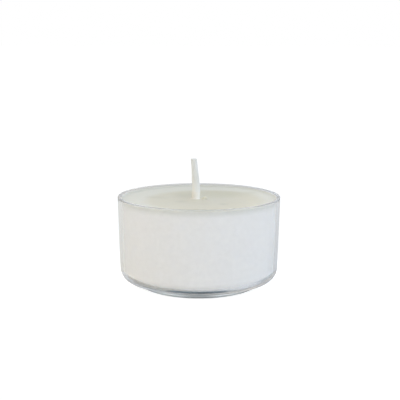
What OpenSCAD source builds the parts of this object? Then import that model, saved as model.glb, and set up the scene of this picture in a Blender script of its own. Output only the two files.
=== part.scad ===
// Tea light candle: cast wax in a clear moulded cup, with a waxed wick that stands in a pressed metal tab.
// Millimetres, +Z up, origin at the centre of the foot ring's lower face.

/* [Cup] */
// Outside diameter across the rim
rim_d = 38; // [30:0.5:60]
// Height from the table to the rim
cup_h = 21.1; // [14:0.1:40]
// Thickness of the wall
wall_t = 0.75; // [0.4:0.05:1.2]
// Angle by which the wall leans out towards the rim, in degrees
wall_draft = 1.5; // [0:0.1:4]
// Outside radius between the wall and the base
corner_r = 2.8; // [1.8:0.1:5]
// Thickness of the floor
floor_t = 0.95; // [0.5:0.05:1.5]
// Radius that rounds both edges of the rim
rim_round = 0.2; // [0.05:0.01:0.3]
// Diameter of the shallow dimple under the floor, where the cup was filled in its mould
gate_d = 3; // [1:0.1:8]
// Depth of that dimple
gate_depth = 0.15; // [0.05:0.05:0.3]

/* [Foot ring] */
// Distance from the foot of the cup's rounded corner in to the ring
foot_inset = 1.85; // [0.5:0.05:6]
// Height of the ring below the cup's underside
foot_h = 1.4; // [0.6:0.05:3]
// Width of the ring
foot_w = 1.4; // [0.8:0.05:3]
// Radius that rounds both lower edges of the ring
foot_round = 0.5; // [0.1:0.05:0.6]

/* [Wax] */
// Depth of the wax surface below the rim
wax_drop = 0.6; // [0.5:0.05:4]
// Gap that shrinking leaves between the wax and the wall
shrink_gap = 0.08; // [0.03:0.01:0.3]
// Height that the wax climbs where it met the wall
meniscus_h = 0.2; // [0.05:0.05:0.4]
// Width of the band in which it climbs
meniscus_w = 0.9; // [0.5:0.1:2]
// Depth of the shallow dish around the wick
dish_depth = 0.25; // [0.05:0.05:1]
// Distance from the wax's edge in to the dish's edge
dish_inset = 4.1; // [2:0.1:7]
// Diameter of the dish's flat middle
dish_flat_d = 10; // [8:0.5:13]

/* [Wax collar] */
// Thickness of the wax bead around the foot of the wick
collar_t = 0.1; // [0.05:0.01:0.8]
// Height of the bead above the dish
collar_h = 1.75; // [0.6:0.05:3]
// Radius of the fillet where the bead meets the dish
collar_fillet = 0.3; // [0.1:0.05:0.5]
// Diameter of the larger drop of wax beside the bead
drop_d = 1.3; // [0.4:0.05:1.6]
// Distance of that drop from the wick's middle
drop_x = 2.1; // [1.5:0.05:3]
// Diameter of the smaller drop of wax, which lies between the other and the bead
droplet_d = 0.6; // [0.3:0.05:1]

/* [Wick] */
// Diameter of the wick where wax thickens it
wick_d = 1.84; // [1.4:0.02:2.4]
// Diameter of the wick at its cut end
wick_tip_d = 1.46; // [0.8:0.02:2]
// Height of the cut end above the wax surface
wick_rise = 9.2; // [7:0.05:20]
// Height above the bead up to which wax thickens the wick
coat_h = 1.7; // [0.5:0.1:3]
// Length over which the wick then thins to its diameter at the cut end
coat_fade = 5; // [1:0.1:6]
// Number of strands that show round the wick
strand_count = 6; // [3:1:9]
// Depth of the grooves between them
strand_groove = 0.06; // [0.02:0.01:0.15]
// Distance of the wick from the cup's axis along X
wick_x = -0.65; // [-1.5:0.01:1.5]
// Distance of the wick from the cup's axis along Y
wick_y = 0.7; // [-1.5:0.01:1.5]
// Distance that the cut end leans along X from the wick's foot
lean_x = -0.58; // [-2:0.01:2]
// Distance that the cut end leans along Y from the wick's foot
lean_y = 0.2; // [-2:0.01:2]

/* [Wick tab] */
// Diameter of the metal tab that the wick stands in
tab_d = 14; // [12:0.5:18]
// Thickness of its sheet
tab_t = 0.25; // [0.15:0.01:0.4]
// Height of its neck above the cup's floor
neck_h = 3.4; // [1.8:0.1:6]
// Height of the rib pressed into its disc
rib_h = 0.3; // [0.1:0.05:0.6]
// Middle diameter of that rib
rib_d = 9; // [7.5:0.5:10]
// Width of that rib
rib_w = 1.4; // [0.8:0.1:2]

/* [Hidden] */

// Clearance between the cast wax and what it was cast around, and between the neck and the wick
cast_gap = 0.02;
// Length by which a tool passes the face that it cuts, and by which one lump of wax roots in another
overlap = 0.1;
// Facets in a rounded edge, in a larger curve and round a circle
edge_steps = 6;
curve_steps = 12;
circle_steps = 96;
// Facets round each strand of the wick, and along the wick above the bead
strand_sides = 6;
wick_rings = 18;
wick_sides = strand_count * strand_sides;

rim_r = rim_d / 2;
wall_slope = tan(wall_draft);
wall_level_t = wall_t / cos(wall_draft);
floor_z = foot_h + floor_t;
inner_corner_r = corner_r - wall_t;
foot_r = corner(outer_r(foot_h + corner_r), foot_h, corner_r)[0][0] - foot_inset;
rim_edge_r = min(rim_round, wall_t / 2);
foot_edge_r = min(foot_round, foot_w / 2, foot_h);

wax_z = cup_h - wax_drop;
dish_z = wax_z - dish_depth;
wax_edge_r = wax_r(wax_z);
dish_r = wax_edge_r - dish_inset;
wax_bore_r = wick_d / 2 + cast_gap;
collar_r = wax_bore_r + collar_t;
collar_top_z = dish_z + collar_h;

wick_top_z = wax_z + wick_rise;
neck_bore_r = wick_d / 2 + cast_gap;
neck_r = neck_bore_r + tab_t;
neck_root_r = 2 * tab_t;

// Radius of the cup's outside and inside, and of the wax, at height z, as if the wall ran on down
function outer_r(z) = rim_r - (cup_h - z) * wall_slope;
function inner_r(z) = outer_r(z) - wall_level_t;
function wax_r(z) = inner_r(z) - shrink_gap;

// Points on an arc about [x, z] from angle a to angle b
function arc(x, z, radius, a, b, steps) = [
    for (i = [0:steps])
        let (angle = a + (b - a) * i / steps)
        [x + radius * cos(angle), z + radius * sin(angle)]
];

// Points of the list from its last to its first
function reversed(points) = [for (i = [len(points) - 1:-1:0]) points[i]];

// The rounded corner between a level floor at z and a leaning wall whose radius at the arc's centre is wall_radius
function corner(wall_radius, z, radius) =
    arc(wall_radius - radius / cos(wall_draft), z + radius, radius, -90, -wall_draft, curve_steps);

// Height of the wax surface at radius r: flat in the middle, smoothly up to the dish's edge, and up again at the wall
function wax_surface(r) =
    let (out = min(max((r - dish_flat_d / 2) / (dish_r - dish_flat_d / 2), 0), 1),
         climb = max(0, 1 - (wax_edge_r - r) / meniscus_w))
    wax_z - dish_depth * (1 + cos(180 * out)) / 2 + meniscus_h * climb * climb;

// Points of the wax surface from radius a to radius b
function wax_points(a, b) = [
    for (i = [0:curve_steps])
        let (r = a + (b - a) * i / curve_steps)
        [r, wax_surface(r)]
];

// Height of the tab's pressed rib at radius r from the wick
function rib_rise(r) =
    let (across = min(abs(r - rib_d / 2) / (rib_w / 2), 1))
    rib_h * (1 + cos(180 * across)) / 2;

// Points along the pressed rib, on a face whose flat part is at height z
function rib_points(z) = [
    for (i = [0:curve_steps])
        let (r = rib_d / 2 + rib_w / 2 - rib_w * i / curve_steps)
        [r, z + rib_rise(r)]
];

// The tab's upper face, raised by gap, from its edge in and up to the top of its neck
function tab_top(gap) = concat(
    [[tab_d / 2 + gap, floor_z + tab_t + gap]],
    rib_points(floor_z + tab_t + gap),
    arc(neck_r + gap + neck_root_r, floor_z + tab_t + gap + neck_root_r, neck_root_r, 270, 180, edge_steps),
    [[neck_r + gap, floor_z + neck_h + gap]]
);

// The tab's lower face, from its edge in and up the bore of its neck
function tab_underside() = concat(
    [[tab_d / 2, floor_z]],
    rib_points(floor_z),
    arc(neck_r + neck_root_r, floor_z + tab_t + neck_root_r, neck_root_r + tab_t, 270, 180, edge_steps),
    [[neck_bore_r, floor_z + neck_h]]
);

// Middle and radius of the wick at height z. It is upright up to the bead's top, and leans and thins above it.
function wick_middle(z) =
    let (t = max(0, (z - collar_top_z) / (wick_top_z - collar_top_z)))
    [wick_x + lean_x * pow(t, 1.3), wick_y + lean_y * t * t];
function wick_radius(z) =
    let (thinned = min(max((z - collar_top_z - coat_h) / coat_fade, 0), 1))
    wick_tip_d / 2 + (wick_d - wick_tip_d) / 2 * (1 + cos(180 * thinned)) / 2;

// One ring of the wick's skin at height z, with a rounded strand between each two grooves and one towards +X
function wick_ring(z) =
    let (middle = wick_middle(z), outer = wick_radius(z))
    [
        for (i = [0:wick_sides - 1])
            let (angle = 360 * i / wick_sides,
                 radius = outer - strand_groove * (1 - abs(cos(angle * strand_count / 2))))
            [middle[0] + radius * cos(angle), middle[1] + radius * sin(angle), z]
    ];

// Half section of the cup, anticlockwise from the middle of its underside
module cup_section() {
    polygon(concat(
        [[0, foot_h + gate_depth], [gate_d / 2 - gate_depth, foot_h + gate_depth], [gate_d / 2, foot_h]],
        [[foot_r - foot_w, foot_h]],
        arc(foot_r - foot_w + foot_edge_r, foot_edge_r, foot_edge_r, 180, 270, edge_steps),
        arc(foot_r - foot_edge_r, foot_edge_r, foot_edge_r, -90, 0, edge_steps),
        [[foot_r, foot_h]],
        corner(outer_r(foot_h + corner_r), foot_h, corner_r),
        arc(outer_r(cup_h) - rim_edge_r, cup_h - rim_edge_r, rim_edge_r, -wall_draft, 90, edge_steps),
        arc(inner_r(cup_h) + rim_edge_r, cup_h - rim_edge_r, rim_edge_r, 90, 180 - wall_draft, edge_steps),
        reversed(corner(inner_r(floor_z + inner_corner_r), floor_z, inner_corner_r)),
        [[0, floor_z]]
    ));
}

// Half section of the wax, with neither its bead and drops nor its hollow for the wick and the tab
module wax_section() {
    polygon(concat(
        [[0, floor_z]],
        corner(wax_r(floor_z + inner_corner_r), floor_z, inner_corner_r),
        reversed(wax_points(wax_edge_r - meniscus_w, wax_edge_r)),
        reversed(wax_points(dish_flat_d / 2, dish_r)),
        [[0, dish_z]]
    ));
}

// Half section of the bead of wax around the wick
module collar_section() {
    top_edge_r = min(collar_t / 2, collar_h / 2);
    polygon(concat(
        [[0, dish_z - overlap], [collar_r + collar_fillet, dish_z - overlap]],
        arc(collar_r + collar_fillet, dish_z + collar_fillet, collar_fillet, 270, 180, edge_steps),
        arc(collar_r - top_edge_r, collar_top_z - top_edge_r, top_edge_r, 0, 90, edge_steps),
        [[0, collar_top_z]]
    ));
}

// Half section of the hollow that the tab leaves in the wax
module tab_pocket_section() {
    polygon(concat(
        [[0, floor_z - overlap], [tab_d / 2 + cast_gap, floor_z - overlap]],
        tab_top(cast_gap),
        [[0, floor_z + neck_h + cast_gap]]
    ));
}

// A drop of wax, half sunk in the dish, at a distance along X from the wick
module wax_drop_at(distance, diameter) {
    translate([wick_x + distance, wick_y - wick_d / 4, dish_z])
        sphere(d = diameter, $fn = circle_steps / 2);
}

module cup() {
    color([0.86, 0.89, 0.9, 0.35])
        rotate_extrude($fn = circle_steps) cup_section();
}

module wax() {
    color([0.87, 0.86, 0.82])
        difference() {
            union() {
                rotate_extrude($fn = circle_steps) wax_section();
                translate([wick_x, wick_y, 0])
                    rotate_extrude($fn = circle_steps) collar_section();
                wax_drop_at(drop_x, drop_d);
                wax_drop_at((collar_r + drop_x - drop_d / 2) / 2, droplet_d);
            }
            translate([wick_x, wick_y, 0]) {
                translate([0, 0, floor_z - overlap])
                    cylinder(h = wick_top_z - floor_z, r = wax_bore_r, $fn = circle_steps);
                rotate_extrude($fn = circle_steps) tab_pocket_section();
            }
        }
}

module wick() {
    heights = concat(
        [floor_z],
        [for (i = [0:wick_rings]) collar_top_z + (wick_top_z - collar_top_z) * i / wick_rings]
    );
    last = (len(heights) - 1) * wick_sides;
    points = [for (z = heights, point = wick_ring(z)) point];
    foot = [for (i = [0:wick_sides - 1]) i];
    cut_end = [for (i = [wick_sides - 1:-1:0]) last + i];
    skin = [
        for (low = [0:wick_sides:last - 1], i = [0:wick_sides - 1])
            let (j = (i + 1) % wick_sides, high = low + wick_sides)
            [low + i, high + i, high + j, low + j]
    ];
    color([0.88, 0.88, 0.85])
        polyhedron(points, concat([foot, cut_end], skin));
}

module wick_tab() {
    color([0.68, 0.7, 0.72])
        translate([wick_x, wick_y, 0])
            rotate_extrude($fn = circle_steps)
                polygon(concat(tab_top(0), reversed(tab_underside())));
}

cup();
wax();
wick();
wick_tab();
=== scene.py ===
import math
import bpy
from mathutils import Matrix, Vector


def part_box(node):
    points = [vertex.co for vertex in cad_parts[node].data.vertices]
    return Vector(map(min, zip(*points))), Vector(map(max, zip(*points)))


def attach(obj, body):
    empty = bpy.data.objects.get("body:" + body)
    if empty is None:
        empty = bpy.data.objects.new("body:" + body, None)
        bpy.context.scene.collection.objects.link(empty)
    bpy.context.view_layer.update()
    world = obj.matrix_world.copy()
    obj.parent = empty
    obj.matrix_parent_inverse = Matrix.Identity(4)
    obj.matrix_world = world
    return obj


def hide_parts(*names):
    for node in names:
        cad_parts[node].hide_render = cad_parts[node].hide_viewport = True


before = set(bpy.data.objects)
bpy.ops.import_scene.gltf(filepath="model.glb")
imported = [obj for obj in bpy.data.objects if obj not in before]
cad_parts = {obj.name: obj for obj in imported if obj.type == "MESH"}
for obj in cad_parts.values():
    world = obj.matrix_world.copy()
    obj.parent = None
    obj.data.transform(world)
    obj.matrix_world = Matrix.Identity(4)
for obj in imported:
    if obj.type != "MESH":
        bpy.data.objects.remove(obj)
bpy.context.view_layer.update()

# The looks of a tea light candle: wax cast in a clear moulded cup, round a waxed wick that a metal tab holds
# upright. Lengths are in millimetres up to the point where a mesh or the camera is made, and then in metres.

from types import SimpleNamespace

import bmesh
import bpy
from mathutils import Matrix, Vector, noise

MM = 0.001

# Sizes that the frame gives
CUP_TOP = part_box("cup")[1]
TAB_LOW, TAB_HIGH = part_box("wick_tab")
RIM_R = CUP_TOP.x / MM
CUP_H = CUP_TOP.z / MM
WICK_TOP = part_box("wick")[1].z / MM
WICK_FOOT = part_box("wick")[0].z / MM
BEAD_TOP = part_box("wax")[1].z / MM
TAB_R = (TAB_HIGH.x - TAB_LOW.x) / 2 / MM
NECK_TOP = TAB_HIGH.z / MM
WICK_X = (TAB_HIGH.x + TAB_LOW.x) / 2 / MM
WICK_Y = (TAB_HIGH.y + TAB_LOW.y) / 2 / MM

# The cup
WALL_T = 0.75
WALL_DRAFT = 1.5
CORNER_R = 2.8
FLOOR_T = 0.95
RIM_ROUND = 0.2
FOOT_INSET = 1.85
FOOT_H = 1.4
FOOT_W = 1.4
FOOT_ROUND = 0.5

# Under the cup, the dimple that the mould's gate leaves, the flat edge round it, and the stub in its middle.
# The stub's points go from its middle out, as shares of its radius and of the dimple's depth.
DIMPLE_R = 1.5
DIMPLE_DEPTH = 0.15
DIMPLE_EDGE = 0.2
STUB_R = 0.45
STUB = ((0, 0.15), (0.5, 0.2), (1, 0.4), (1.1, 1))

# Streaks up the inside of the cup's wall, where the plastic flowed into its mould
FLOW_DEPTH = 0.008
FLOW_SIZE = 1.6
FLOW_STRETCH = 12
FLOW_SEED = 3

# The wax
WAX_DROP = 0.6
SHRINK_GAP = 0.08
FLOOR_GAP = 0.02
CAST_GAP = 0.02
MENISCUS_H = 0.2
MENISCUS_W = 0.9
WAX_LIP = 0.04
DISH_DEPTH = 0.25
DISH_INSET = 4.1
DISH_FLAT_R = 5.0
BEAD_T = 0.1
BEAD_FILLET = 0.3

# The two drops of wax beside the bead, with the powers that shape their crown and their side
DROP_R = 0.65
DROP_X = 2.1
DROPLET_R = 0.3
DROP_CROWN = 2.4
DROP_SIDE = 0.6

# Faint waves in the wax's top, and its dents: the middle of each, its radii and its depth
WAVE_H = 0.03
WAVE_SIZE = 3.0
WAVE_SEED = 5
DENTS = (
    ((2.3, 4.0), (1.3, 1.8), 0.12),
    ((6.1, -6.6), (0.9, 1.5), 0.1),
    ((-8.8, 2.2), (2.2, 1.0), 0.06),
    ((-3.4, -3.0), (1.4, 1.1), 0.06),
    ((1.7, -6.6), (1.4, 1.1), 0.05),
)

# The wick, coated up to COAT_H above the bead. LEAN_BEND is the power by which its lean grows with height.
WICK_R = 0.92
WICK_TIP_R = 0.73
COAT_H = 1.7
COAT_FADE = 5.0
LEAN_X = -0.58
LEAN_Y = 0.2
LEAN_BEND = 1.3

# Its strands, with the groove between two, its share where the wick is coated and where it is bare, and their
# slight twist
STRANDS = 6
STRAND_GROOVE = 0.06
GROOVE_SHARES = (0.35, 1.5)
TWIST = 0.06
TWIST_RATE = 1.9

# Its roughness
FIBRE_DEPTH = 0.012
FIBRE_SIZE = 0.5
FIBRE_ROUND = 6
FIBRE_STRETCH = 4
FIBRE_SEED = 7

# Its ends: the shares of its radius that close its foot, and those that round its tip, each with its rise
FOOT_SHARES = (0.3, 0.7, 0.93)
TIP_H = 0.08
TIP_RINGS = ((0.95, 0.05), (0.8, 0.07), (0.5, 0.06), (0.2, 0.05))
TIP_DIP = 0.04

# The tab
TAB_T = 0.25
TAB_BEVEL = 0.03
RIB_H = 0.3
RIB_R = 4.5
RIB_W = 1.4

# Facets of the meshes, and steps along their profiles. The wax's top has finer rings out to TOP_NEAR_R, the
# last ring of the cup's floor has a radius of CUP_FLOOR_R, and the wax's lip starts at LIP_ANGLE.
ROUND_SEGMENTS = 256
WICK_SIDES = 144
WICK_RINGS = 150
TOP_NEAR_RINGS = 48
TOP_NEAR_R = 4.0
TOP_FAR_RINGS = 64
DIMPLE_STEPS = 5
RECESS_STEPS = 4
EDGE_STEPS = 10
CORNER_STEPS = 24
INNER_CORNER_STEPS = 20
OUTSIDE_STEPS = 16
INSIDE_STEPS = 32
CUP_FLOOR_STEPS = 8
CUP_FLOOR_R = 0.5
FILLET_STEPS = 8
LIP_STEPS = 3
LIP_ANGLE = 60
WAX_SIDE_STEPS = 24
WAX_UNDER_STEPS = 16
BORE_STEPS = 12
RIB_STEPS = 16

# Heights and radii that follow from those
SLOPE = math.tan(math.radians(WALL_DRAFT))
WALL_LEVEL_T = WALL_T / math.cos(math.radians(WALL_DRAFT))
FLOOR_Z = FOOT_H + FLOOR_T
INNER_CORNER_R = CORNER_R - WALL_T
WAX_Z = CUP_H - WAX_DROP
DISH_Z = WAX_Z - DISH_DEPTH
BORE_R = WICK_R + CAST_GAP
BEAD_R = BORE_R + BEAD_T
BEAD_ROUND = BEAD_T / 2
DROPLET_X = (BEAD_R + DROP_X - DROP_R) / 2
NECK_FILLET = 2 * TAB_T


def outer_r(z):
    """Radius of the cup's outside at height z, as if the wall ran on down."""
    return RIM_R - (CUP_H - z) * SLOPE


def inner_r(z):
    return outer_r(z) - WALL_LEVEL_T


def wax_r(z):
    return inner_r(z) - SHRINK_GAP


WAX_EDGE_R = wax_r(WAX_Z)
DISH_R = WAX_EDGE_R - DISH_INSET


def clamp(value, low=0.0, high=1.0):
    return min(max(value, low), high)


def mix(a, b, share):
    return a + (b - a) * share


def arc(x, z, radius, first, last, steps):
    """Points (r, z) on an arc about (x, z), from one angle to another in degrees."""
    angles = [math.radians(mix(first, last, i / steps)) for i in range(steps + 1)]
    return [(x + radius * math.cos(a), z + radius * math.sin(a)) for a in angles]


def line(start, end, steps):
    """Points (r, z) along a line, both ends included."""
    shares = [i / steps for i in range(steps + 1)]
    return [(mix(start[0], end[0], s), mix(start[1], end[1], s)) for s in shares]


def corner(wall_radius, z, radius, steps):
    """The rounded corner between a level floor at z and the leaning wall."""
    middle = wall_radius - radius / math.cos(math.radians(WALL_DRAFT))
    return arc(middle, z + radius, radius, -90, -WALL_DRAFT, steps)


def lumps(x, y, z, size, seed):
    """Smooth noise from -1 to 1, with features of about that size."""
    return noise.noise(Vector((x / size + seed, y / size - seed, z / size + 2 * seed)))


# Meshes

def circle(x, y, radius, z, count, height=None):
    """A ring of points round (x, y). height(px, py), if given, is added to z."""
    points = []
    for i in range(count):
        angle = 2 * math.pi * i / count
        px = x + radius * math.cos(angle)
        py = y + radius * math.sin(angle)
        points.append((px, py, z + (height(px, py) if height else 0)))
    return points


def turned(profile, x=0, y=0):
    """Rings of points, one for each point (r, z) of a profile, round the upright line at (x, y)."""
    return [circle(x, y, r, z, ROUND_SEGMENTS) for r, z in profile]


def skin(name, rings, joined=False, poles=None):
    """A closed mesh over rings of points. It joins its last ring to its first, or ends in two poles."""
    mesh = bmesh.new()
    rows = [[mesh.verts.new(Vector(p) * MM) for p in ring] for ring in rings]
    count = len(rows[0])
    pairs = list(zip(rows, rows[1:] + rows[:1] if joined else rows[1:]))
    for low, high in pairs:
        for i in range(count):
            j = (i + 1) % count
            mesh.faces.new((low[i], low[j], high[j], high[i]))
    if poles:
        for pole, row in zip(poles, (rows[0], rows[-1])):
            tip = mesh.verts.new(Vector(pole) * MM)
            for i in range(count):
                mesh.faces.new((row[i], row[(i + 1) % count], tip))
    bmesh.ops.recalc_face_normals(mesh, faces=mesh.faces)
    data = bpy.data.meshes.new(name)
    mesh.to_mesh(data)
    mesh.free()
    data.shade_smooth()
    piece = bpy.data.objects.new(name, data)
    bpy.context.collection.objects.link(piece)
    return piece


def dress(piece, node, material):
    """piece stands for a CAD node and its material."""
    piece.data.materials.append(material)
    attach(piece, "root")
    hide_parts(node)
    return piece


# Shader nodes. A span is the two ends of a stretch, and a result what it turns into there. A noise has the
# size of its features, its detail and its stretch along the axes. A ray whose diffuse depth is under
# SOME_DIFFUSE has met no rough surface yet.
SOME_DIFFUSE = 0.5
UNIT = (0.0, 1.0)
FALLING = (1.0, 0.0)

# The standard curve between display values and linear ones
CURVE_KNEE = 0.04045
CURVE_SLOPE = 12.92
CURVE_OFFSET = 0.055
CURVE_POWER = 2.4


def wire(tree, node, sockets):
    """Links each of a node's sockets to another node's socket, or sets it to any other value."""
    for name, value in sockets.items():
        if isinstance(value, bpy.types.NodeSocket):
            tree.links.new(value, node.inputs[name])
        else:
            node.inputs[name].default_value = value


def shader(tree, kind, sockets, **settings):
    """A new shader node with its settings and its sockets."""
    made = tree.nodes.new("ShaderNode" + kind)
    for name, value in settings.items():
        setattr(made, name, value)
    wire(tree, made, sockets)
    return made


def srgb(red, green, blue):
    """A linear colour from its 0 to 255 display values."""
    def linear(value):
        share = value / 255
        if share <= CURVE_KNEE:
            return share / CURVE_SLOPE
        return ((share + CURVE_OFFSET) / (1 + CURVE_OFFSET)) ** CURVE_POWER
    return (linear(red), linear(green), linear(blue), 1.0)


def new_material(name):
    """A material, its node tree, its Principled shader, and the place in millimetres as a vector."""
    material = bpy.data.materials.new(name)
    material.use_nodes = True
    tree = material.node_tree
    surface = next(n for n in tree.nodes if n.type == "BSDF_PRINCIPLED")
    place = shader(tree, "TexCoord", {}).outputs["Object"]
    scaled = shader(tree, "VectorMath", {0: place, "Scale": 1 / MM}, operation="SCALE")
    return material, tree, surface, scaled.outputs["Vector"]


def light_path(tree):
    return shader(tree, "LightPath", {}).outputs


def math_node(tree, operation, a, b=0.0):
    return shader(tree, "Math", {0: a, 1: b}, operation=operation).outputs["Value"]


def plus(tree, first, *others):
    for other in others:
        first = math_node(tree, "ADD", first, other)
    return first


def times(tree, first, *others):
    for other in others:
        first = math_node(tree, "MULTIPLY", first, other)
    return first


def vector_node(tree, operation, a, b):
    return shader(tree, "VectorMath", {0: a, 1: b}, operation=operation).outputs["Vector"]


def length(tree, vector):
    return shader(tree, "VectorMath", {0: vector}, operation="LENGTH").outputs["Value"]


def parts_of(tree, vector):
    return shader(tree, "SeparateXYZ", {"Vector": vector}).outputs


def grey(tree, value):
    return shader(tree, "CombineXYZ", {"X": value, "Y": value, "Z": value}).outputs["Vector"]


def noise_node(tree, place, size, detail, stretch=(1, 1, 1)):
    """Noise from 0 to 1 with features of about that size in millimetres, longer along an axis by stretch."""
    scale = Vector([1 / (size * s) for s in stretch])
    seen = vector_node(tree, "MULTIPLY", place, scale)
    return shader(tree, "TexNoise", {"Vector": seen, "Scale": 1.0, "Detail": detail}).outputs["Fac"]


def from_to(tree, value, span, result=UNIT, smooth=False):
    """value mapped from a span to a result, and clamped."""
    kind = "SMOOTHSTEP" if smooth else "LINEAR"
    ends = {"From Min": span[0], "From Max": span[1], "To Min": result[0], "To Max": result[1]}
    return shader(tree, "MapRange", {"Value": value, **ends}, interpolation_type=kind).outputs["Result"]


def blend_value(tree, share, a, b):
    return shader(tree, "Mix", {0: share, 2: a, 3: b}, data_type="FLOAT").outputs[0]


def blend_colour(tree, share, a, b, mode="MIX"):
    return shader(tree, "Mix", {0: share, 6: a, 7: b}, data_type="RGBA", blend_type=mode).outputs[2]


def dimmed(tree, colour, gain):
    """A colour times another, which may be a socket."""
    return blend_colour(tree, 1.0, colour, gain, "MULTIPLY")


def relief(tree, surface, height, depth):
    """Bump on a surface, with a height from 0 to 1 that stands for that depth in millimetres."""
    bump = shader(tree, "Bump", {"Height": height, "Distance": depth * MM, "Strength": 1.0})
    wire(tree, surface, {"Normal": bump.outputs["Normal"]})


def plan_distance(tree, place, x, y):
    """How far a place is from the upright line at (x, y)."""
    moved = vector_node(tree, "SUBTRACT", place, Vector((x, y, 0)))
    return length(tree, vector_node(tree, "MULTIPLY", moved, Vector((1, 1, 0))))


def ellipse_share(tree, place, centre, radii, soft):
    """1 inside an ellipse of the ground plan, falling to 0 over a soft edge, as a share of the radii."""
    moved = vector_node(tree, "SUBTRACT", place, Vector((*centre, 0)))
    shrunk = vector_node(tree, "MULTIPLY", moved, Vector((1 / radii[0], 1 / radii[1], 0)))
    return from_to(tree, length(tree, shrunk), (1 - soft, 1 + soft), FALLING, smooth=True)


# The clear plastic. The rim is worn matt over its last stretch, and the thick base has a bluer tint.
CLEAR_IOR = 1.57
HAZE = (2.5, 3)
HAZE_SPAN = (0.4, 0.75)
HAZE_ROUGHNESS = (0.01, 0.05)
HAZE_TINTS = ((0.975, 0.978, 0.98, 1), (0.986, 0.988, 0.988, 1))
RIM_WEAR_SPAN = (CUP_H - 0.4, CUP_H - 0.1)
RIM_WEAR_ROUGHNESS = (0, 0.2)
BASE_TINT = (0.93, 0.965, 0.98, 1)
FLOW_LINES = (0.8, 1, (1, 1, 9))
FLOW_LINE_DEPTH = 0.004


def clear_material():
    material, tree, surface, place = new_material("clear_plastic")
    haze = noise_node(tree, place, *HAZE)
    high = parts_of(tree, place)["Z"]
    worn = from_to(tree, high, RIM_WEAR_SPAN, RIM_WEAR_ROUGHNESS, smooth=True)
    rough = plus(tree, from_to(tree, haze, HAZE_SPAN, HAZE_ROUGHNESS), worn)
    thick = from_to(tree, high, (FLOOR_Z, FOOT_H), smooth=True)
    tint = blend_colour(tree, thick, blend_colour(tree, haze, *HAZE_TINTS), BASE_TINT)
    wire(tree, surface, {
        "Base Color": tint,
        "Roughness": rough,
        "IOR": CLEAR_IOR,
        "Transmission Weight": 1.0,
    })
    relief(tree, surface, noise_node(tree, place, *FLOW_LINES), FLOW_LINE_DEPTH)
    return material


# The wax. Its top has a pool of yellower wax with a patch of painted shade on the dish's far slope,
# a middle dimmed with painted shade, and darker streaks, most of them painted shade in its dents.
# Each is an ellipse with its middle, its radii, and its softness or, for a streak, its strength.
# A noise bends their outlines.
WAX_SIDE = srgb(230, 229, 227)
# The side darkens towards its top, a painted shade below the cup's rim.
WAX_EDGE_SHADE = srgb(210, 210, 204)
WAX_EDGE_SPAN = (WAX_Z - 1.5, WAX_Z + 0.1)
WAX_TOP_SPAN = (WAX_EDGE_R - WAX_LIP, WAX_EDGE_R - 0.3)
WANDER = (5.0, 2)
MARGIN = srgb(226, 226, 217)
POOL = srgb(218, 215, 199)
POOL_ELLIPSE = ((1.8, -2.5), (13.6, 14.5), 0.12)
BACK_SLOPE_SHADE = srgb(209, 207, 188)
BACK_SLOPE_SHADE_ELLIPSE = ((3.0, 6.5), (8.5, 4.2), 0.5)
MIDDLE_SHADE_GAIN = (0.965, 0.965, 0.965, 1)
MIDDLE_SHADE_ELLIPSE = ((1.5, -5.0), (8.0, 11.0), 0.5)
STREAK_AND_DENT_SHADE = srgb(198, 196, 180)
STREAK_AND_DENT_SHADE_SOFT = 0.75
STREAKS_AND_DENT_SHADES = (
    ((-9.3, 1.8), (2.3, 1.3), 0.35),
    ((-3.0, 4.5), (2.2, 3.0), 0.45),
    ((-3.4, -3.0), (1.2, 1.3), 0.5),
    ((6.1, -6.6), (0.9, 1.4), 0.6),
    ((1.7, -6.6), (1.2, 1.2), 0.25),
    ((13.0, 8.3), (1.3, 1.6), 0.25),
    ((2.5, 17.2), (1.6, 0.9), 0.3),
)

# The top is paler on the right with painted light, and dimmer with painted shade near the wall, at the back
# and at the front.
RIGHT_SPAN = (6.0, 13.0)
RIGHT_LIGHT_GAIN = (1.04, 1.035, 1.025, 1)
WALL_SPAN = (WAX_EDGE_R - 2.2, WAX_EDGE_R - 0.2)
WALL_SHADE_GAIN = (0.9, 0.9, 0.9, 1)
BACK_SPAN = (-12.0, 16.0)
BACK_SHADE_GAIN = (0.87, 0.88, 0.88, 1)
FRONT_SPAN = (-13.0, -16.0)
FRONT_SHADE_GAIN = (0.92, 0.92, 0.91, 1)

# The bead round the wick, from its left, darker with painted shade, to its right, and the drop beside it
BEAD_SPAN = (BEAD_R + BEAD_FILLET, BEAD_R + 0.05)
BEAD_SHADED_COLOURS = (srgb(232, 229, 220), srgb(251, 250, 246))
DROP_COLOUR = srgb(220, 217, 200)
DROP_ELLIPSE = ((WICK_X + DROP_X - 0.25, WICK_Y - WICK_R / 2), (DROP_R + 0.35, DROP_R), 0.2)

# The body of the wax: its grain shows in its colour and its gloss, and it is more solid close to the wick.
GRAIN = (0.9, 4)
GRAIN_SPAN = (0.3, 0.7)
GRAIN_GAIN = (0.97, 1.03)
WAX_ROUGHNESS = (0.42, 0.58)
WAX_IOR = 1.44
SOFT_SPAN = (BEAD_R, BEAD_R + 1.0)
SOFT_WEIGHT = (0, 0.4)
SOFT_COLOUR = (1.0, 0.9, 0.75)
SOFT_DEPTH = 0.6
PORES = (0.35, 3)
PORE_DEPTH = 0.012


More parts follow.
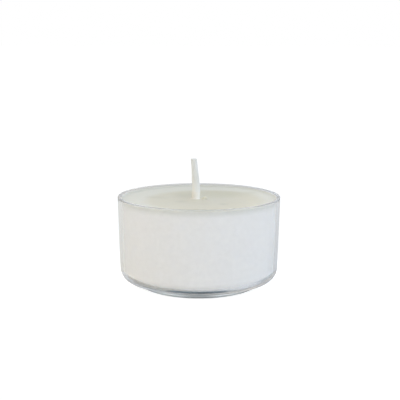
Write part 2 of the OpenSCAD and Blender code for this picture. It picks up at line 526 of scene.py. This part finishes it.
def wax_top_colour(tree, place, parts, away):
    wander = noise_node(tree, place, *WANDER)
    shift = shader(tree, "CombineXYZ", {"X": wander, "Y": wander}).outputs["Vector"]
    strayed = vector_node(tree, "ADD", shift, place)
    top = blend_colour(tree, ellipse_share(tree, strayed, *POOL_ELLIPSE), MARGIN, POOL)
    # Painted shade in the dish's middle
    middle = ellipse_share(tree, strayed, *MIDDLE_SHADE_ELLIPSE)
    top = blend_colour(tree, middle, top, dimmed(tree, top, MIDDLE_SHADE_GAIN))
    # Painted shade on the dish's far slope, behind the wick
    top = blend_colour(tree, ellipse_share(tree, strayed, *BACK_SLOPE_SHADE_ELLIPSE), top, BACK_SLOPE_SHADE)
    # Darker streaks, most of them painted shade in the dents
    for centre, radii, strength in STREAKS_AND_DENT_SHADES:
        streak_and_dent_shade = times(tree, ellipse_share(tree, strayed, centre, radii, STREAK_AND_DENT_SHADE_SOFT), strength)
        top = blend_colour(tree, streak_and_dent_shade, top, STREAK_AND_DENT_SHADE)
    # Painted light on the right, and painted shade near the wall, at the back and at the front
    painted_light_and_shade = (
        (from_to(tree, parts["X"], RIGHT_SPAN, smooth=True), RIGHT_LIGHT_GAIN),
        (from_to(tree, away, WALL_SPAN, smooth=True), WALL_SHADE_GAIN),
        (from_to(tree, parts["Y"], BACK_SPAN), BACK_SHADE_GAIN),
        (from_to(tree, parts["Y"], FRONT_SPAN), FRONT_SHADE_GAIN),
    )
    for share, gain in painted_light_and_shade:
        top = blend_colour(tree, share, top, dimmed(tree, top, gain))
    return top


def wax_colour(tree, place, beside, grain):
    parts = parts_of(tree, place)
    away = length(tree, vector_node(tree, "MULTIPLY", place, Vector((1, 1, 0))))
    edged = from_to(tree, parts["Z"], WAX_EDGE_SPAN, smooth=True)
    on_top = times(tree, from_to(tree, away, WAX_TOP_SPAN), edged)
    # Painted shade at the top of the side, below the rim
    colour = blend_colour(tree, edged, WAX_SIDE, WAX_EDGE_SHADE)
    colour = blend_colour(tree, on_top, colour, wax_top_colour(tree, place, parts, away))
    rightward = from_to(tree, parts["X"], (WICK_X - BEAD_R, WICK_X + BEAD_R))
    # The bead's left side is darker, a painted shade.
    bead = blend_colour(tree, rightward, *BEAD_SHADED_COLOURS)
    colour = blend_colour(tree, from_to(tree, beside, BEAD_SPAN, smooth=True), colour, bead)
    colour = blend_colour(tree, ellipse_share(tree, place, *DROP_ELLIPSE), colour, DROP_COLOUR)
    return dimmed(tree, colour, grey(tree, from_to(tree, grain, GRAIN_SPAN, GRAIN_GAIN)))


def wax_material():
    material, tree, surface, place = new_material("cast_wax")
    beside = plan_distance(tree, place, WICK_X, WICK_Y)
    grain = noise_node(tree, place, *GRAIN)
    wire(tree, surface, {
        "Base Color": wax_colour(tree, place, beside, grain),
        "Roughness": from_to(tree, grain, GRAIN_SPAN, WAX_ROUGHNESS),
        "IOR": WAX_IOR,
        "Subsurface Weight": from_to(tree, beside, SOFT_SPAN, SOFT_WEIGHT),
        "Subsurface Radius": SOFT_COLOUR,
        "Subsurface Scale": SOFT_DEPTH * MM,
    })
    relief(tree, surface, noise_node(tree, place, *PORES), PORE_DEPTH)
    return material


# The wick: cotton in paler and darker fibres and strands, which the wax coats near the bead
STRAND_NOISE = (0.35, 2, (1, 1, 8))
STRAND_SPAN = (0.35, 0.65)
STRAND_COLOURS = (srgb(225, 226, 222), srgb(236, 237, 234))
FIBRE_NOISE = (0.12, 3, (1, 1, 14))
FIBRE_SPAN = (0.35, 0.7)
FIBRE_SHARE = (0, 0.4)
FIBRE_COLOUR = srgb(209, 211, 206)
COAT_SPAN = (BEAD_TOP + 2 * COAT_H, BEAD_TOP)
COAT_SHARE = (0, 0.85)
COAT_COLOUR = srgb(242, 242, 238)
WICK_ROUGHNESS = (0.75, 0.45)
WICK_SOFT_WEIGHT = 0.15
WICK_SOFT_COLOUR = (1.0, 0.95, 0.85)
WICK_SOFT_DEPTH = 0.4
WICK_SHEEN = 0.1
FIBRE_RELIEF = 0.02


def wick_material():
    material, tree, surface, place = new_material("waxed_cotton")
    fibre = noise_node(tree, place, *FIBRE_NOISE)
    strand = noise_node(tree, place, *STRAND_NOISE)
    colour = blend_colour(tree, from_to(tree, strand, STRAND_SPAN), *STRAND_COLOURS)
    colour = blend_colour(tree, from_to(tree, fibre, FIBRE_SPAN, FIBRE_SHARE), colour, FIBRE_COLOUR)
    waxed = from_to(tree, parts_of(tree, place)["Z"], COAT_SPAN, COAT_SHARE, smooth=True)
    wire(tree, surface, {
        "Base Color": blend_colour(tree, waxed, colour, COAT_COLOUR),
        "Roughness": from_to(tree, waxed, UNIT, WICK_ROUGHNESS),
        "Subsurface Weight": WICK_SOFT_WEIGHT,
        "Subsurface Radius": WICK_SOFT_COLOUR,
        "Subsurface Scale": WICK_SOFT_DEPTH * MM,
        "Sheen Weight": WICK_SHEEN,
    })
    relief(tree, surface, fibre, FIBRE_RELIEF)
    return material


# The tab: tinned steel with the marks of its rolling and the crystals of its tin
ROLLED = (0.15, 3, (30, 1, 1))
ROLLED_SPAN = (0.3, 0.7)
TAB_ROUGHNESS = (0.24, 0.42)
ROLLED_DEPTH = 0.004
CRYSTALS = (1.6, 2)
TIN_COLOURS = (srgb(212, 215, 218), srgb(230, 232, 233))


def tab_material():
    material, tree, surface, place = new_material("tinned_steel")
    rolled = noise_node(tree, place, *ROLLED)
    wire(tree, surface, {
        "Base Color": blend_colour(tree, noise_node(tree, place, *CRYSTALS), *TIN_COLOURS),
        "Metallic": 1.0,
        "Roughness": from_to(tree, rolled, ROLLED_SPAN, TAB_ROUGHNESS),
    })
    relief(tree, surface, rolled, ROLLED_DEPTH)
    return material


# The cup's mesh

def gate_stub():
    return [(STUB_R * out, FOOT_H + DIMPLE_DEPTH * up) for out, up in STUB]


def cup_underside(corner_r):
    """Points (r, z) from the dimple out over the foot ring to the rounded corner, which starts there."""
    foot_r = corner_r - FOOT_INSET
    edge = min(FOOT_ROUND, FOOT_W / 2)
    points = arc(DIMPLE_R, FOOT_H + DIMPLE_DEPTH, DIMPLE_DEPTH, -180, -90, DIMPLE_STEPS)
    points += line((DIMPLE_R + DIMPLE_EDGE, FOOT_H), (foot_r - FOOT_W, FOOT_H), RECESS_STEPS)
    points += arc(foot_r - FOOT_W + edge, edge, edge, 180, 270, EDGE_STEPS)
    points += arc(foot_r - edge, edge, edge, -90, 0, EDGE_STEPS)
    return points + [(foot_r, FOOT_H)]


def streaked_circle(r, z):
    """A ring of the cup's inside, which is uneven where the plastic flowed."""
    points = []
    for x, y, _ in circle(0, 0, 1, z, ROUND_SEGMENTS):
        streak = FLOW_DEPTH * lumps(x * r, y * r, z / FLOW_STRETCH, FLOW_SIZE, FLOW_SEED)
        points.append((x * (r + streak), y * (r + streak), z))
    return points


def build_cup():
    middle, *stub = gate_stub()
    outside = corner(outer_r(FOOT_H + CORNER_R), FOOT_H, CORNER_R, CORNER_STEPS)
    inside = corner(inner_r(FLOOR_Z + INNER_CORNER_R), FLOOR_Z, INNER_CORNER_R, INNER_CORNER_STEPS)
    rim_z = CUP_H - RIM_ROUND
    rim_out = arc(outer_r(CUP_H) - RIM_ROUND, rim_z, RIM_ROUND, -WALL_DRAFT, 90, EDGE_STEPS)
    rim_in = arc(inner_r(CUP_H) + RIM_ROUND, rim_z, RIM_ROUND, 90, 180 - WALL_DRAFT, EDGE_STEPS)
    wall_out = line(outside[-1], rim_out[0], OUTSIDE_STEPS)[1:-1]
    wall_in = line(rim_in[-1], inside[-1], INSIDE_STEPS)[1:-1]
    floor_in = line(inside[0], (CUP_FLOOR_R, FLOOR_Z), CUP_FLOOR_STEPS)[1:]
    rings = turned(stub + cup_underside(outside[0][0]) + outside + wall_out + rim_out + rim_in)
    rings += [streaked_circle(r, z) for r, z in wall_in]
    rings += turned(inside[::-1] + floor_in)
    poles = ((0, 0, middle[1]), (0, 0, FLOOR_Z))
    return dress(skin("clear_cup", rings, poles=poles), "cup", clear_material())


# The wax's mesh

def drop_rise(x, y, drop_x, radius):
    """Height at (x, y) of a drop of wax that lies half sunk in the dish."""
    away = math.hypot(x - WICK_X - drop_x, y - WICK_Y + WICK_R / 2) / radius
    return radius * max(0.0, 1 - away ** DROP_CROWN) ** DROP_SIDE


def dent_rise(x, y, middle, radii, depth):
    away = math.hypot((x - middle[0]) / radii[0], (y - middle[1]) / radii[1])
    return -depth * math.exp(-away * away)


def wax_rise(x, y):
    """What the wax surface stands above its flat middle at (x, y)."""
    r = math.hypot(x, y)
    out = clamp((r - DISH_FLAT_R) / (DISH_R - DISH_FLAT_R))
    climb = max(0.0, 1 - (WAX_EDGE_R - r) / MENISCUS_W)
    rise = DISH_DEPTH * (1 - math.cos(math.pi * out)) / 2 + MENISCUS_H * climb * climb
    inside = clamp((WAX_EDGE_R - r) / MENISCUS_W)
    rise += inside * WAVE_H * lumps(x, y, 0, WAVE_SIZE, WAVE_SEED)
    for middle, radii, depth in DENTS:
        rise += dent_rise(x, y, middle, radii, depth)
    return rise + drop_rise(x, y, DROP_X, DROP_R) + drop_rise(x, y, DROPLET_X, DROPLET_R)


def rib_rise(r):
    across = min(abs(r - RIB_R) / (RIB_W / 2), 1)
    return RIB_H * (1 + math.cos(math.pi * across)) / 2


def rib(face, start, end):
    """The tab's rib on a face at that height, from one radius to another."""
    return [(r, face + rib_rise(r)) for r, _ in line((start, 0), (end, 0), RIB_STEPS)]


def tab_top(gap):
    """The tab's upper face raised by gap, from its edge in and up to the top of its neck."""
    neck = BORE_R + TAB_T + gap
    face = FLOOR_Z + TAB_T + gap
    points = [(TAB_R + gap, face)] + rib(face, RIB_R + RIB_W / 2, RIB_R - RIB_W / 2)
    points += arc(neck + NECK_FILLET, face + NECK_FILLET, NECK_FILLET, 270, 180, FILLET_STEPS)
    return points + [(neck, NECK_TOP + gap)]


def bead_profile():
    points = arc(BEAD_R - BEAD_ROUND, BEAD_TOP - BEAD_ROUND, BEAD_ROUND, 180, 0, FILLET_STEPS)
    points += line((BEAD_R, BEAD_TOP - BEAD_ROUND), (BEAD_R, DISH_Z + BEAD_FILLET), FILLET_STEPS)[1:-1]
    return points + arc(BEAD_R + BEAD_FILLET, DISH_Z + BEAD_FILLET, BEAD_FILLET, 180, 270, FILLET_STEPS)


def wax_top_rings():
    """Rings from the bead out to the wax's edge. Their middles go from the wick to the cup's."""
    first = BEAD_R + BEAD_FILLET
    edge = WAX_EDGE_R - WAX_LIP
    radii = [mix(first, TOP_NEAR_R, (i + 1) / TOP_NEAR_RINGS) for i in range(TOP_NEAR_RINGS)]
    radii += [mix(TOP_NEAR_R, edge, (i + 1) / TOP_FAR_RINGS) for i in range(TOP_FAR_RINGS)]
    rings = []
    for r in radii:
        share = clamp((r - first) / (WAX_EDGE_R - first))
        x = WICK_X * (1 - share)
        y = WICK_Y * (1 - share)
        rings.append(circle(x, y, r, DISH_Z, ROUND_SEGMENTS, wax_rise))
    return rings


def wax_side():
    """Points (r, z) from the lip at the top down the side and round the corner."""
    lip_z = DISH_Z + DISH_DEPTH + MENISCUS_H - WAX_LIP
    wall_r = wax_r(FLOOR_Z + INNER_CORNER_R)
    base = corner(wall_r, FLOOR_Z + FLOOR_GAP, INNER_CORNER_R - FLOOR_GAP, INNER_CORNER_STEPS)
    points = arc(WAX_EDGE_R - WAX_LIP, lip_z, WAX_LIP, LIP_ANGLE, 0, LIP_STEPS)
    return points + line((WAX_EDGE_R, lip_z), base[-1], WAX_SIDE_STEPS)[1:-1] + base[::-1]


def wax_under_rings(start_r, z):
    """Rings from the corner in to the tab. Their middles go from the cup's to the wick."""
    rings = []
    for i in range(1, WAX_UNDER_STEPS + 1):
        share = i / WAX_UNDER_STEPS
        r = mix(start_r, TAB_R + CAST_GAP, share)
        rings.append(circle(WICK_X * share, WICK_Y * share, r, z, ROUND_SEGMENTS))
    return rings


def build_wax():
    side = wax_side()
    bore_foot = (BORE_R, NECK_TOP + CAST_GAP)
    bore = line(bore_foot, (BORE_R, BEAD_TOP - BEAD_ROUND), BORE_STEPS)[:-1]
    rings = turned(bead_profile(), WICK_X, WICK_Y) + wax_top_rings() + turned(side)
    rings += wax_under_rings(*side[-1]) + turned(tab_top(CAST_GAP) + bore, WICK_X, WICK_Y)
    return dress(skin("wax_fill", rings, joined=True), "wax", wax_material())


# The wick's mesh

def wick_middle(z):
    up = max(0.0, (z - BEAD_TOP) / (WICK_TOP - BEAD_TOP))
    return WICK_X + LEAN_X * up ** LEAN_BEND, WICK_Y + LEAN_Y * up * up


def wick_ring(z, share=1.0):
    """A ring of the wick's skin at height z, drawn in to a share of its radius."""
    x, y = wick_middle(z)
    thinned = clamp((z - BEAD_TOP - COAT_H) / COAT_FADE)
    outer = mix(WICK_R, WICK_TIP_R, (1 - math.cos(math.pi * thinned)) / 2)
    groove = STRAND_GROOVE * mix(*GROOVE_SHARES, thinned)
    points = []
    for i in range(WICK_SIDES):
        angle = 2 * math.pi * i / WICK_SIDES
        cos, sin = math.cos(angle), math.sin(angle)
        wave = angle + TWIST * math.sin(z * TWIST_RATE)
        r = outer - groove * (1 - abs(math.cos(wave * STRANDS / 2)))
        rough = lumps(cos * FIBRE_ROUND, sin * FIBRE_ROUND, z / FIBRE_STRETCH, FIBRE_SIZE, FIBRE_SEED)
        r -= FIBRE_DEPTH * (1 + rough)
        r = min(r, outer) * share
        points.append((x + r * cos, y + r * sin, z))
    return points


def build_wick():
    heights = [mix(WICK_FOOT, WICK_TOP - TIP_H, i / WICK_RINGS) for i in range(WICK_RINGS + 1)]
    rings = [wick_ring(WICK_FOOT, share) for share in FOOT_SHARES]
    rings += [wick_ring(z) for z in heights]
    rings += [wick_ring(heights[-1] + rise, share) for share, rise in TIP_RINGS]
    top = (*wick_middle(WICK_TOP), WICK_TOP - TIP_DIP)
    poles = ((*wick_middle(WICK_FOOT), WICK_FOOT), top)
    return dress(skin("waxed_wick", rings, poles=poles), "wick", wick_material())


# The tab's mesh

def build_tab():
    face = FLOOR_Z + FLOOR_GAP / 2
    neck = BORE_R + TAB_T + NECK_FILLET
    fillet = NECK_FILLET + TAB_T - FLOOR_GAP / 2
    under = [(BORE_R, NECK_TOP)]
    under += arc(neck, FLOOR_Z + TAB_T + NECK_FILLET, fillet, 180, 270, FILLET_STEPS)
    under += rib(face, RIB_R - RIB_W / 2, RIB_R + RIB_W / 2)
    under += [(TAB_R - TAB_BEVEL, face), (TAB_R, face + TAB_BEVEL)]
    rings = turned(tab_top(0) + under, WICK_X, WICK_Y)
    return dress(skin("steel_tab", rings, joined=True), "wick_tab", tab_material())


# The floor. It is plain for the light that it sends back to the wax, and plastic and gloss show it with
# painted light and shade: warmer and cooler tones, less light near the candle, a painted shadow under the
# foot ring and painted shade far behind.
# A glow that lights nothing lifts what the camera, plastic and gloss see of it. Spans are distances from the
# middle of the candle, or how far a place lies to its right or behind it, from -1 to 1.
FLOOR_R = 6000
FLOOR_SEGMENTS = 96
FLOOR_DROP = 0.02
FLOOR_ROUGHNESS = 0.9
PLAIN_FLOOR = (0.85, 0.85, 0.85, 1)
RIGHT_SIDE = (-0.8, 0.8)
FRONT_SIDE = (-0.3, -0.8)
RECESS_SPAN = (12.7, 11.7)
FOOT_RING_SPAN = (16.8, 15.9)
FRONT_CENTRE = (-0.86, -0.93)

# Its painted tones from the left, warmer, to the right, cooler, and its painted light and shade near the
# candle and further out. SHADE_SIDE is a stretch of the share that RIGHT_SIDE gives.
OPEN_LIGHT_COLOURS = ((0.745, 0.738, 0.70, 1), (0.68, 0.695, 0.71, 1))
NEAR_LIGHT = (0.5, 0.78)
NEAR_FRONT_LIGHT = (0.15, 0.4)
INMOST_LIGHT = (0.55, 0.38)
INMOST_SPAN = (14.0, 16.5)
SHADE_SIDE = (0, 0.6)
SHADE_START = (17.5, 16.5)
SHADE_END = (22.5, 34)
OUTER_LIGHT = (0.97, 0.92)
OUTER_SPAN = (40, 110)
BRIGHT_LIGHT = (1.18, 1.0)
BRIGHT_SPAN = (23, 30)

# The painted shadow that shows through the front of the foot ring, and the painted shade of the floor far
# behind
SHADOW_SPAN = (14.0, 15.0)
SHADOW_COLOURS = ((0.08, 0.1, 0.12, 1), (0.18, 0.25, 0.31, 1))
FAR_SPAN = (60, 110)
FAR_BACK = (0.96, 0.99)
FAR_SHADE_COLOUR = (0.54, 0.54, 0.52, 1)

# Its glow inside the foot ring, in front of it, and for the camera
RECESS_GLOW_SPAN = (1.5, 6.0)
RECESS_GLOW = (0.29, 0.76)
RING_GLOW_SPAN = (28.0, 22.0)
RING_GLOW = (0, 0.11)
CAMERA_GLOW_SPAN = (17, 45)
CAMERA_GLOW = (0.65, 0.2)


def floor_places(tree, place):
    """Values across the floor, by which its tones are laid out."""
    away = length(tree, place)
    parts = parts_of(tree, place)
    ahead = math_node(tree, "DIVIDE", parts["Y"], away)
    aside = math_node(tree, "DIVIDE", parts["X"], away)
    recess = from_to(tree, away, RECESS_SPAN, smooth=True)
    under = math_node(tree, "SUBTRACT", from_to(tree, away, FOOT_RING_SPAN, smooth=True), recess)
    centre = from_to(tree, ahead, FRONT_CENTRE, smooth=True)
    return SimpleNamespace(
        away=away,
        off_centre=math_node(tree, "ABSOLUTE", parts["X"]),
        ahead=ahead,
        recess=recess,
        right=from_to(tree, aside, RIGHT_SIDE, smooth=True),
        front=from_to(tree, ahead, FRONT_SIDE, smooth=True),
        painted_shadow=times(tree, under, centre),
    )


def floor_light(tree, at):
    """How much of the open floor's light shows at a place."""
    front = times(tree, at.front, from_to(tree, at.right, UNIT, NEAR_FRONT_LIGHT))
    near = plus(tree, from_to(tree, at.right, UNIT, NEAR_LIGHT), front)
    inmost = from_to(tree, at.right, UNIT, INMOST_LIGHT)
    near = times(tree, near, from_to(tree, at.away, INMOST_SPAN, (inmost, 1.0)))
    start = from_to(tree, at.right, SHADE_SIDE, SHADE_START)
    end = from_to(tree, at.right, SHADE_SIDE, SHADE_END)
    outer = from_to(tree, at.away, OUTER_SPAN, (from_to(tree, at.right, UNIT, OUTER_LIGHT), 1.0))
    bright = from_to(tree, at.right, SHADE_SIDE, BRIGHT_LIGHT)
    outer = times(tree, outer, from_to(tree, at.away, BRIGHT_SPAN, (bright, 1.0)))
    return blend_value(tree, from_to(tree, at.away, (start, end), smooth=True), near, outer)


def floor_colour(tree, at):
    """The floor as plastic and gloss show it, with painted light, shade and shadow."""
    seen = dimmed(tree, blend_colour(tree, at.right, *OPEN_LIGHT_COLOURS), grey(tree, floor_light(tree, at)))
    # A painted shadow under the front of the foot ring
    painted_shadow = blend_colour(tree, from_to(tree, at.away, SHADOW_SPAN), *SHADOW_COLOURS)
    seen = blend_colour(tree, at.painted_shadow, seen, painted_shadow)
    far = from_to(tree, at.away, FAR_SPAN, smooth=True)
    behind = times(tree, far, from_to(tree, at.ahead, FAR_BACK, smooth=True))
    return blend_colour(tree, behind, seen, FAR_SHADE_COLOUR)


def floor_glow(tree, at, through, seen):
    """The strength of the glow, from what plastic and gloss show and from what the camera sees."""
    inside = times(tree, at.recess, from_to(tree, at.off_centre, RECESS_GLOW_SPAN, RECESS_GLOW))
    ring = times(tree, from_to(tree, at.away, RING_GLOW_SPAN), from_to(tree, at.front, UNIT, RING_GLOW),
                 from_to(tree, at.recess, UNIT, FALLING), from_to(tree, at.painted_shadow, UNIT, FALLING))
    lift = from_to(tree, at.away, CAMERA_GLOW_SPAN, CAMERA_GLOW, smooth=True)
    return plus(tree, times(tree, through, plus(tree, inside, ring)), times(tree, seen, lift))


def floor_material():
    material, tree, surface, place = new_material("pale_floor")
    path = light_path(tree)
    glancing = math_node(tree, "MAXIMUM", path["Is Glossy Ray"], path["Is Transmission Ray"])
    through = times(tree, glancing, math_node(tree, "LESS_THAN", path["Diffuse Depth"], SOME_DIFFUSE))
    at = floor_places(tree, place)
    wire(tree, surface, {
        "Base Color": blend_colour(tree, through, PLAIN_FLOOR, floor_colour(tree, at)),
        "Roughness": FLOOR_ROUGHNESS,
        "Specular IOR Level": 0.0,
        "Emission Strength": floor_glow(tree, at, through, path["Is Camera Ray"]),
    })
    return material


def build_floor():
    mesh = bmesh.new()
    bmesh.ops.create_circle(mesh, cap_ends=True, segments=FLOOR_SEGMENTS, radius=FLOOR_R * MM)
    data = bpy.data.meshes.new("floor")
    mesh.to_mesh(data)
    mesh.free()
    floor = bpy.data.objects.new("floor", data)
    floor.location.z = -FLOOR_DROP * MM
    bpy.context.collection.objects.link(floor)
    data.materials.append(floor_material())


# The world. Spans are how far a direction points up, to the right or to the back, from -1 to 1.
TINT_SPAN = (-0.6, 0.6)
TINTS = ((0.99, 0.93, 0.84, 1), (0.985, 1.075, 1.2, 1))
HEIGHT_SPAN = (0.15, 0.42)
HEIGHT_LIGHT = (0.9, 0.42)
SIDE_SPAN = (-0.7, 0.7)
SIDE_LIGHT = (-0.08, 0.1)
ENDS_SPAN = (0.3, 0.8)
ENDS_LIGHT = (0, 0.14)
LEFT_SPAN = (0.0, -0.5)
LEFT_LIGHT = (0, -0.12)
LEFT_HEIGHT = (0.2, 0.35)
ZENITH_SPAN = (0.82, 0.95)
ZENITH_LIGHT = (0, -0.3)

# A darker belt on the right, between two heights, which is weaker in front
BELT_FOOT = (0.36, 0.48)
BELT_TOP = (0.76, 0.66)
BELT_SIDE = (0.1, 0.45)
BELT_DEPTH = (-0.6, -0.3)
BELT_FRONT_SHARE = (0.45, 1)
BELT_LIGHT = (0, -0.3)

# Soft boxes, each with where it stands and what it adds. BOX_SPAN is how near to its middle a ray points.
BOX_SPAN = (0.87, 0.97)
BOXES = (
    ((0.6, -0.68, 0.42), 0.45),
    ((-0.6, -0.68, 0.42), 0.35),
    ((0.55, -0.23, 0.8), 0.25),
    ((-0.5, -0.28, 0.82), 0.85),
)

# The light on rough surfaces, where it comes through plastic or off gloss, and where it comes straight
LIT_LEVEL = (1.2, 1.0)
WHITE = (1, 1, 1, 1)


def belt_share(tree, along):
    foot = from_to(tree, along["Z"], BELT_FOOT, smooth=True)
    top = from_to(tree, along["Z"], BELT_TOP, smooth=True)
    side = from_to(tree, along["X"], BELT_SIDE, smooth=True)
    return times(tree, foot, top, side, from_to(tree, along["Y"], BELT_DEPTH, BELT_FRONT_SHARE, smooth=True))


def studio_level(tree, direction, along):
    """How bright the studio is in a direction, as plastic and gloss show it."""
    ends = math_node(tree, "ABSOLUTE", along["Y"])
    left = from_to(tree, along["X"], LEFT_SPAN, LEFT_LIGHT)
    level = plus(
        tree,
        from_to(tree, along["Z"], HEIGHT_SPAN, HEIGHT_LIGHT, smooth=True),
        from_to(tree, along["X"], SIDE_SPAN, SIDE_LIGHT, smooth=True),
        from_to(tree, ends, ENDS_SPAN, ENDS_LIGHT, smooth=True),
        times(tree, left, from_to(tree, along["Z"], LEFT_HEIGHT)),
        from_to(tree, along["Z"], ZENITH_SPAN, ZENITH_LIGHT),
        from_to(tree, belt_share(tree, along), UNIT, BELT_LIGHT),
    )
    for facing, gain in BOXES:
        near = shader(tree, "VectorMath", {0: direction, 1: facing}, operation="DOT_PRODUCT").outputs["Value"]
        level = plus(tree, level, from_to(tree, near, BOX_SPAN, (0, gain), smooth=True))
    return level


def build_world():
    """White to the camera, and a soft studio for the rest, warmer from the left and cooler from the right."""
    world = bpy.data.worlds.new("studio")
    bpy.context.scene.world = world
    world.use_nodes = True
    world.cycles.sampling_method = "NONE"
    tree = world.node_tree
    tree.nodes.clear()
    direction = shader(tree, "TexCoord", {}).outputs["Generated"]
    along = parts_of(tree, direction)
    path = light_path(tree)
    lit = from_to(tree, path["Is Diffuse Ray"], UNIT, LIT_LEVEL)
    indirect = math_node(tree, "GREATER_THAN", path["Diffuse Depth"], SOME_DIFFUSE)
    level = blend_value(tree, indirect, studio_level(tree, direction, along), lit)
    tint = blend_colour(tree, from_to(tree, along["X"], TINT_SPAN, smooth=True), *TINTS)
    colour = blend_colour(tree, path["Is Camera Ray"], dimmed(tree, tint, grey(tree, level)), WHITE)
    background = shader(tree, "Background", {"Color": colour, "Strength": 1.0})
    shader(tree, "OutputWorld", {"Surface": background.outputs["Background"]})


# The camera, fitted to the outline of the cup in the photograph
SENSOR_W = 36
LENS = 83.65
CAMERA_PLACE = (0, -214.804, 57.529)
CAMERA_FACING = (0.00113, 0.98519, -0.17196)
CAMERA_ROLL = 0.00275
CLIP_START = 10
CLIP_END = 20000


def build_camera():
    data = bpy.data.cameras.new("camera")
    data.sensor_width = SENSOR_W
    data.lens = LENS
    data.clip_start = CLIP_START * MM
    data.clip_end = CLIP_END * MM
    camera = bpy.data.objects.new("camera", data)
    bpy.context.collection.objects.link(camera)
    camera.location = Vector(CAMERA_PLACE) * MM
    facing = Vector(CAMERA_FACING).to_track_quat("-Z", "Y").to_matrix()
    camera.rotation_mode = "QUATERNION"
    camera.rotation_quaternion = (facing @ Matrix.Rotation(CAMERA_ROLL, 3, "Z")).to_quaternion()
    bpy.context.scene.camera = camera


# Clear walls within clear walls need many bounces.
BOUNCES = 128

bpy.context.scene.view_settings.view_transform = "Standard"
cycles = bpy.context.scene.cycles
cycles.blur_glossy = 0.0
cycles.max_bounces = BOUNCES
cycles.glossy_bounces = BOUNCES
cycles.transmission_bounces = BOUNCES
build_cup()
build_wax()
build_wick()
build_tab()
build_floor()
build_world()
build_camera()
